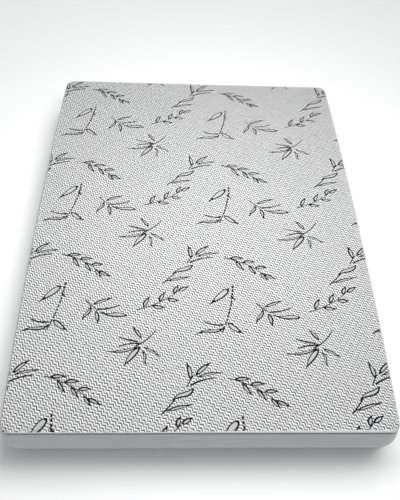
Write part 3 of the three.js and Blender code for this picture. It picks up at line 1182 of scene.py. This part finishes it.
def skirt_material(skirt):
    """Faint streaks along the cloth, and the shade of the fold under the seam."""
    finish = Finish("skirt_cloth")
    place = finish.cloth_place()
    streak = finish.noise(finish.scaled(place, *STREAK_SCALE), 1.0, 4.0)
    dark = toned(skirt.cloth, STREAK_TONE)
    base = finish.mixed(finish.ramped(streak, *FLECK_RANGE), dark, skirt.cloth)
    down = finish.add("ShaderNodeVectorMath", {0: place, 1: (0, -1, 0)}, operation="DOT_PRODUCT")
    edges = (skirt.fold / MM * share for share in FOLD_RANGE)
    past_fold = finish.ramped(Number(finish, down.outputs["Value"]), *edges)
    base = finish.mixed(1 - past_fold, base, toned(skirt.cloth, FOLD_TONE))
    height = streak + finish.wave(place, SKIRT_RIBS, 0, 0) * 0.05
    return finish.finish(base, 0.8, height, 0.4 * MM, sheen=0.2)


# The mattress's own cloth: its two tones, flecks a metre, and ribs in radians a metre
TICKING_TONES = ((0.70, 0.68, 0.62), (0.80, 0.78, 0.73))
TICKING_FLECKS = 60.0
TICKING_RIBS = (2200, 2200, 0)


def ticking_material():
    finish = Finish("ticking")
    place = finish.object_place()
    fleck = finish.noise(place, TICKING_FLECKS)
    base = finish.mixed(fleck, *TICKING_TONES)
    return finish.finish(base, 0.95, finish.wave(place, *TICKING_RIBS) + fleck, 0.2 * MM)


# Radians a metre that the yarns of a thread take across, along and up
THREAD_TWIST = (9000, 7000, 11000)


def thread_material(sewing):
    finish = Finish("sewing_thread")
    twist = finish.wave(finish.object_place(), *THREAD_TWIST)
    thread = sewing.thread_colour
    base = finish.mixed(twist * 0.5 + 0.5, toned(thread, 0.85), thread)
    return finish.finish(base, 0.7, twist, 0.1 * MM, sheen=0.1)


# Stitches by Geometry Nodes


class Pattern(Nodes):
    """A Geometry Nodes tree that makes a result from a path."""

    def __init__(self, name):
        super().__init__(bpy.data.node_groups.new(name, "GeometryNodeTree"))
        self.tree.is_modifier = True
        self.tree.interface.new_socket(
            name="Result", in_out="OUTPUT", socket_type="NodeSocketGeometry"
        )
        self.start = self.tree.nodes.new("NodeGroupInput")
        self.identifiers = {}
        self.path = self.input("Path", "NodeSocketGeometry")

    def input(self, name, kind="NodeSocketFloat"):
        socket = self.tree.interface.new_socket(name=name, in_out="INPUT", socket_type=kind)
        self.identifiers[name] = socket.identifier
        output = self.start.outputs[name]
        return Number(self, output) if kind == "NodeSocketFloat" else output

    def made(self, kind, sockets=None, **settings):
        """What a node of a kind puts out first."""
        return self.add(kind, sockets, **settings).outputs[0]


# Sides of a thread, and steps of its arch
THREAD_SIDES = 5
ARCH_STEPS = 4


def stitch_pattern(name, slant):
    """Thread arches set along a path: across it, or slanting to and fro by an angle."""
    pattern = Pattern(name)
    made = pattern.made
    pitch, reach, arch, thread = (pattern.input(n) for n in ("Pitch", "Reach", "Arch", "Thread"))
    material = pattern.input("Material", "NodeSocketMaterial")
    curve = made("GeometryNodeMeshToCurve", {"Mesh": pattern.path})
    even = made("GeometryNodeResampleCurve", {"Curve": curve, "Length": pitch}, mode="LENGTH")
    ends = {
        "Start": pattern.point(Y=reach * -0.5),
        "Middle": pattern.point(Z=arch),
        "End": pattern.point(Y=reach * 0.5),
    }
    arc = made("GeometryNodeCurveQuadraticBezier", {"Resolution": ARCH_STEPS, **ends})
    circle = {"Resolution": THREAD_SIDES, "Radius": thread * 0.5}
    section = made("GeometryNodeCurvePrimitiveCircle", circle)
    parts = {"Curve": arc, "Profile Curve": section, "Fill Caps": True}
    stitch = made("GeometryNodeCurveToMesh", parts)
    outward = made("GeometryNodeInputNamedAttribute", {"Name": "outward"}, data_type="FLOAT_VECTOR")
    axes = {"Primary Axis": outward, "Secondary Axis": made("GeometryNodeInputTangent")}
    turn = made("FunctionNodeAxesToRotation", axes, primary_axis="Z", secondary_axis="X")
    odd = pattern.math("MODULO", made("GeometryNodeInputIndex"), 2.0)
    swing = pattern.math("MULTIPLY_ADD", odd, 2 * slant, -slant)
    turns = {"Rotation": turn, "Rotate By": pattern.point(Z=swing)}
    turned = made("FunctionNodeRotateRotation", turns, rotation_space="LOCAL")
    places = {"Points": even, "Instance": stitch, "Rotation": turned}
    placed = made("GeometryNodeInstanceOnPoints", places)
    real = made("GeometryNodeRealizeInstances", {"Geometry": placed})
    soft = made("GeometryNodeSetShadeSmooth", {"Geometry": real})
    coloured = made("GeometryNodeSetMaterial", {"Geometry": soft, "Material": material})
    pattern.add("NodeGroupOutput", {"Result": coloured})
    return pattern


def sew(name, path, outward, slant, sizes, material):
    """A plain mesh of stitches along a closed path."""
    line = bpy.data.meshes.new(name + "_path")
    line.from_pydata(path.tolist(), chain_of(0, len(path)).tolist(), [])
    outwards = line.attributes.new("outward", "FLOAT_VECTOR", "POINT")
    outwards.data.foreach_set("vector", outward.astype(np.float32).ravel())
    guide = add_object(name + "_guide", line)
    pattern = stitch_pattern(name + "_stitches", slant)
    modifier = guide.modifiers.new("Stitches", "NODES")
    modifier.node_group = pattern.tree
    for key, value in {**sizes, "Material": material}.items():
        modifier[pattern.identifiers[key]] = value
    bpy.context.view_layer.update()
    evaluated = guide.evaluated_get(bpy.context.evaluated_depsgraph_get())
    mesh = bpy.data.meshes.new_from_object(evaluated)
    mesh.name = name
    mesh.materials.clear()
    mesh.materials.append(material)
    guide.modifiers.remove(modifier)
    bpy.data.objects.remove(guide)
    if not mesh.polygons:
        raise RuntimeError(f"{name}: the path took no stitches")
    return add_object(name, mesh)


# Operators


class PROTECTOR_OT_lay_panel(bpy.types.Operator):
    """Cut the patterned top panel flat and lay it over the mattress"""

    bl_idname = "protector.lay_panel"
    bl_label = "Lay Top Panel"

    def execute(self, context):
        scene = context.scene
        form = CoveredForm(scene.covered_sizes)
        mesh = panel_mesh(form, scene.leaf_pattern, scene.knit_look, scene.sewing)
        mesh.materials.append(ground_material(scene.knit_look))
        mesh.materials.append(line_material(scene.leaf_pattern))
        mesh.materials.append(leaf_material(scene.leaf_pattern))
        mesh.materials.append(strip_material(scene.knit_look))
        panel = add_object("top_panel_cloth", mesh)
        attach(panel, "root")
        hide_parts("top_panel")
        flat = (2 * form.panel_x, 2 * form.panel_y)
        return {"FINISHED"}


# Skirt rows from the seam to the hem
SKIRT_SPACING = 6 * MM
SKIRT_CORNER_STEPS = 16
SEAM_GAP = 0.55 * MM
ROUNDING_SHARES = (0, 0.04, 0.09, 0.15, 0.22, 0.3, 0.4, 0.55, 0.75, 1)
SIDE_ROWS = 22
BOTTOM_ROWS = 6
UNDER_ROWS = 9
HEM_ROWS = 6
# How far the hem's stitches stand out
HEM_ARCH = 0.3 * MM


# How far the hem's edge stands below its middle, as a share of what it is thicker than the cloth
HEM_BELOW = 0.4
# The gathers: waves per metre of their unevenness, its phase, how far it sways them, and how they
# rise towards the hem, as a power, and fade across it
GATHER_WAVES = 9
GATHER_PHASE = 3.1
GATHER_SWAY = 5
GATHER_RISE = 1.5
GATHER_FADE = 0.6


def shares(count):
    """Shares of a way in even steps, without its start."""
    return [i / count for i in range(1, count + 1)]


def skirt_stations(form):
    return Stations(form, SKIRT_SPACING, SKIRT_CORNER_STEPS)


def skirt_rows(stations, form, sewing, skirt):
    """Rings of the skirt's outer face, and of its inner face, from the seam to the hem."""
    size = form.size
    thick = size.skirt_thickness
    outer, inner = [], []
    for share in ROUNDING_SHARES:
        gone = share * (QUARTER_TURN * size.top_rounding - stations.seam - SEAM_GAP)
        drop = sewing.drop * np.clip(1 - gone / sewing.drop_width, 0, 1)
        outer.append(stations.top_rounding(share, SEAM_GAP, drop))
        inner.append(stations.top_rounding(share, SEAM_GAP, drop + thick))
    for rows, depth in ((outer, 0), (inner, thick)):
        rows += [stations.side(share, depth) for share in shares(SIDE_ROWS)]
        rows += [stations.bottom_rounding(share, depth, depth) for share in shares(BOTTOM_ROWS)]
    hem_start = size.tuck - size.hem_width
    phase = stations.along / skirt.gather_pitch * 2 * math.pi
    places = [Vector((along * GATHER_WAVES, GATHER_PHASE, 0)) for along in stations.along]
    uneven = np.array([noise.noise(place) for place in places])
    crest = skirt.gather * (0.5 + 0.5 * np.sin(phase + GATHER_SWAY * uneven)) * (1 + uneven)
    for share in shares(UNDER_ROWS):
        inset = size.bottom_rounding + (hem_start - size.bottom_rounding) * share
        lift = crest * share**GATHER_RISE
        outer.append(stations.under(inset, lift))
        inner.append(stations.under(inset, lift + thick))
    for share in shares(HEM_ROWS):
        inset = hem_start + size.hem_width * share
        fullness = math.sin(math.pi * share) ** 0.5
        body = thick + (size.hem_thickness - thick) * fullness
        low = crest * (1 - GATHER_FADE * share) - (body - thick) * HEM_BELOW
        low = np.maximum(low, (sewing.thread + HEM_ARCH) * fullness)
        outer.append(stations.under(inset, low))
        inner.append(stations.under(inset, np.minimum(low + body, size.hem_thickness)))
    return outer, inner


def ways_down(rings):
    """How far down the cloth each ring's points lie, and the first ring's once more."""
    drops = [np.zeros(len(rings[0]))]
    for before, after in zip(rings, rings[1:] + rings[:1]):
        drops.append(drops[-1] + np.linalg.norm(after - before, axis=1))
    return drops


# Slow ripples: waves per metre along and up, phase, and share of the height
RIPPLES = ((3, 34, 1.7, 1), (11, 12, 8, 0.5))
# They fade out over the first of these heights, and from the second up, over the third
RIPPLE_FADES = (30 * MM, 200 * MM, 20 * MM)


def rippled(rings, stations, height):
    """The rings with slow ripples that run along the sides."""
    low, top, fade = RIPPLE_FADES
    made = []
    for ring in rings:
        z = ring[:, 2]
        shift = [
            sum(
                part * noise.noise(Vector((a * along, b * up, phase)))
                for along, up, phase, part in RIPPLES
            )
            for a, b in zip(stations.along, z)
        ]
        move = height * np.array(shift) * np.clip(z / low, 0, 1) * np.clip((top - z) / fade, 0, 1)
        made.append(ring + np.column_stack([stations.away * move[:, None], np.zeros(len(move))]))
    return made


class PROTECTOR_OT_pull_skirt(bpy.types.Operator):
    """Pull the skirt over the sides and tuck it under the mattress"""

    bl_idname = "protector.pull_skirt"
    bl_label = "Pull Skirt Over"

    # The inner face has fewer rings, and the cloth is shorter round the hem than round the sides
    INNER_STEP = 3
    FULLNESS = 0.9

    def execute(self, context):
        scene = context.scene
        form = CoveredForm(scene.covered_sizes)
        stations = skirt_stations(form)
        outer, inner = skirt_rows(stations, form, scene.sewing, scene.skirt_look)
        rings = [*outer, *(inner[:: self.INNER_STEP] + inner[-1:])[::-1]]
        rings = rippled(rings, stations, scene.skirt_look.ripple)
        drops = ways_down(rings)
        faces = ring_faces(len(stations.seam), len(rings), True)
        maps = skirt_maps(stations, drops)
        mesh = mesh_from("skirt_cloth", np.concatenate(rings), faces.tolist(), maps=maps)
        mesh.materials.append(skirt_material(scene.skirt_look))
        skirt = add_object("skirt_cloth", mesh)
        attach(skirt, "root")
        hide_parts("skirt")
        depth = float(np.median(drops[len(outer) - 1]))
        area = stations.girth * depth * self.FULLNESS
        return {"FINISHED"}


class PROTECTOR_OT_place_mattress(bpy.types.Operator):
    """Build the plain mattress inside the protector"""

    bl_idname = "protector.place_mattress"
    bl_label = "Place Mattress"

    TOP_SHARES = (0.25, 0.5, 0.75, 0.9, 0.97)
    ROUNDING_STEPS = 5
    SIDE_STEPS = 12
    SPACING = 24 * MM
    CORNER_STEPS = 8
    SIDE_ROOM = 3 * MM
    TOP_ROOM = 0.35 * MM
    HEM_ROOM = 0.3 * MM
    EDGE_DEPTH = 5.2 * MM

    def execute(self, context):
        size = context.scene.covered_sizes
        form = CoveredForm(size)
        stations = Stations(form, self.SPACING, self.CORNER_STEPS)
        inset = size.skirt_thickness + self.SIDE_ROOM
        top_depth = size.panel_thickness + self.TOP_ROOM
        base = size.hem_thickness + self.HEM_ROOM
        stations.seam[:] = 0
        edge = stations.centre * [form.arc_x, form.arc_y] + stations.away * form.flat_corner
        rings = [form.laid_over(*(edge * share).T, top_depth) for share in self.TOP_SHARES]
        turns = shares(self.ROUNDING_STEPS)
        rings += [stations.top_rounding(share, 0, self.EDGE_DEPTH) for share in (0, *turns)]
        rings += [stations.side(share, inset) for share in shares(self.SIDE_STEPS)]
        rings += [stations.bottom_rounding(share, inset, base) for share in turns]
        top = form.laid_over(0.0, 0.0, top_depth)
        mesh = capped_mesh("mattress_block", rings, top, [0, 0, base])
        mesh.materials.append(ticking_material())
        block = add_object("mattress_block", mesh)
        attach(block, "root")
        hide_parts("mattress")
        return {"FINISHED"}


def capped_mesh(name, rings, top, bottom):
    """A closed mesh of rings, with a middle point over the first and one under the last."""
    count = len(rings[0])
    points = np.concatenate([*rings, [top], [bottom]])
    here = np.arange(count)
    after = np.roll(here, -1)
    last = (len(rings) - 1) * count
    over = np.stack([np.full(count, len(points) - 2), here, after], axis=1)
    under = np.stack([last + here, np.full(count, len(points) - 1), last + after], axis=1)
    sides = ring_faces(count, len(rings), False)
    return mesh_from(name, points, [*sides.tolist(), *over.tolist(), *under.tolist()])


class PROTECTOR_OT_sew_seam(bpy.types.Operator):
    """Sew the panel to the skirt with thread arches over the seam"""

    bl_idname = "protector.sew_seam"
    bl_label = "Sew Seam"

    ARCH = 0.9 * MM
    DEEPER = 5 * MM

    def execute(self, context):
        sewing = context.scene.sewing
        stations = skirt_stations(CoveredForm(context.scene.covered_sizes))
        sunk = (sewing.roll + sewing.drop) / 2
        path = stations.top_rounding(0, SEAM_GAP / 2, sunk)
        outward = path - stations.top_rounding(0, SEAM_GAP / 2, sunk + self.DEEPER)
        outward /= np.linalg.norm(outward, axis=1)[:, None]
        sizes = {
            "Pitch": sewing.pitch,
            "Reach": sewing.seam_reach,
            "Arch": self.ARCH,
            "Thread": sewing.thread,
        }
        seam = sew("seam_stitches", path, outward, 0.0, sizes, thread_material(sewing))
        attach(seam, "root")
        return {"FINISHED"}


class PROTECTOR_OT_sew_hem(bpy.types.Operator):
    """Sew the elastic hem with a zigzag"""

    bl_idname = "protector.sew_hem"
    bl_label = "Sew Hem"

    REACH = 1.5
    FINER_THREAD = 0.9
    SLANT = math.radians(42)

    def execute(self, context):
        scene = context.scene
        sewing = scene.sewing
        form = CoveredForm(scene.covered_sizes)
        outer, _ = skirt_rows(skirt_stations(form), form, sewing, scene.skirt_look)
        path = outer[-1 - HEM_ROWS // 2]
        down = np.tile([0.0, 0.0, -1.0], (len(path), 1))
        sizes = {
            "Pitch": sewing.pitch,
            "Reach": sewing.pitch * self.REACH,
            "Arch": HEM_ARCH,
            "Thread": sewing.thread * self.FINER_THREAD,
        }
        hem = sew("hem_stitches", path, down, self.SLANT, sizes, thread_material(sewing))
        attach(hem, "root")
        return {"FINISHED"}


# Camera fitted to the outline in the picture: place, and turns in degrees
CAMERA_AT = (-0.1051, -1.5790, 2.2082)
CAMERA_YAW = 4.264
CAMERA_PITCH = 54.975
CAMERA_ROLL = 4.220
FLOOR_SIZE = 60.0
PANEL_LIGHT_AT = (0.12, 0.0, 1.75)
PANEL_LIGHT_SIZE = 1.2
AIR_COLOUR = (0.98, 0.99, 1.0, 1)


class PROTECTOR_OT_set_stage(bpy.types.Operator):
    """Lay the floor and set the light and the camera"""

    bl_idname = "protector.set_stage"
    bl_label = "Set Stage"

    def execute(self, context):
        scene = context.scene
        self.lay_floor(scene.studio)
        self.light(scene, scene.studio)
        self.camera(scene, scene.studio)
        scene.view_settings.view_transform = "Standard"
        return {"FINISHED"}

    def lay_floor(self, studio):
        half = FLOOR_SIZE / 2
        corners = [(-half, -half, 0), (half, -half, 0), (half, half, 0), (-half, half, 0)]
        mesh = bpy.data.meshes.new("floor")
        mesh.from_pydata(corners, [], [(0, 1, 2, 3)])
        finish = Finish("floor_paint")
        fleck = finish.noise(finish.object_place(), 3.0)
        base = finish.mixed(fleck, toned(studio.floor, 0.98), studio.floor)
        mesh.materials.append(finish.finish(base, 0.9))
        add_object("floor", mesh)

    def light(self, scene, studio):
        world = bpy.data.worlds.new("studio_air")
        world.use_nodes = True
        air = world.node_tree.nodes["Background"].inputs
        air["Color"].default_value = AIR_COLOUR
        air["Strength"].default_value = studio.sky
        scene.world = world
        lamp = bpy.data.lights.new("key", "SUN")
        lamp.energy = studio.key
        lamp.angle = studio.key_spread
        key = add_object("key", lamp)
        flat = Vector((math.sin(studio.key_turn), math.cos(studio.key_turn), 0))
        towards = flat * math.cos(studio.key_height) + Vector((0, 0, math.sin(studio.key_height)))
        key.rotation_euler = towards.to_track_quat("Z", "Y").to_euler()
        panel_lamp = bpy.data.lights.new("light_panel", "AREA")
        panel_lamp.energy = studio.panel
        panel_lamp.size = PANEL_LIGHT_SIZE
        panel = add_object("light_panel", panel_lamp)
        panel.location = PANEL_LIGHT_AT
        panel.visible_camera = False

    def camera(self, scene, studio):
        data = bpy.data.cameras.new("camera")
        data.lens = studio.lens
        data.sensor_width = 36.0
        data.clip_end = 200.0
        camera = add_object("camera", data)
        turns = ((-CAMERA_YAW, "Z"), (90 - CAMERA_PITCH, "X"), (CAMERA_ROLL, "Z"))
        place = Matrix.Translation(CAMERA_AT)
        for degrees, axis in turns:
            place = place @ Matrix.Rotation(math.radians(degrees), 4, axis)
        camera.matrix_world = place
        scene.camera = camera


class PROTECTOR_PT_sidebar(bpy.types.Panel):
    """Lists the pieces in the order in which they are made"""

    bl_label = "Protector"
    bl_idname = "PROTECTOR_PT_sidebar"
    bl_space_type = "VIEW_3D"
    bl_region_type = "UI"
    bl_category = "Protector"

    def draw(self, context):
        for piece in PIECE_OPERATORS:
            self.layout.operator(piece.bl_idname)


PIECE_OPERATORS = (
    PROTECTOR_OT_place_mattress,
    PROTECTOR_OT_lay_panel,
    PROTECTOR_OT_pull_skirt,
    PROTECTOR_OT_sew_seam,
    PROTECTOR_OT_sew_hem,
    PROTECTOR_OT_set_stage,
)
SETTINGS = {
    "covered_sizes": CoveredSizes,
    "leaf_pattern": LeafPattern,
    "knit_look": KnitLook,
    "skirt_look": SkirtLook,
    "sewing": Sewing,
    "studio": Studio,
}


def register():
    for name, group in SETTINGS.items():
        bpy.utils.register_class(group)
        setattr(bpy.types.Scene, name, bpy.props.PointerProperty(type=group))
    for piece in PIECE_OPERATORS:
        bpy.utils.register_class(piece)
    bpy.utils.register_class(PROTECTOR_PT_sidebar)


def unregister():
    bpy.utils.unregister_class(PROTECTOR_PT_sidebar)
    for piece in reversed(PIECE_OPERATORS):
        bpy.utils.unregister_class(piece)
    for name, group in reversed(SETTINGS.items()):
        delattr(bpy.types.Scene, name)
        bpy.utils.unregister_class(group)


def main():
    register()
    bpy.ops.protector.place_mattress()
    bpy.ops.protector.lay_panel()
    bpy.ops.protector.pull_skirt()
    bpy.ops.protector.sew_seam()
    bpy.ops.protector.sew_hem()
    bpy.ops.protector.set_stage()


if __name__ == "__main__":
    main()
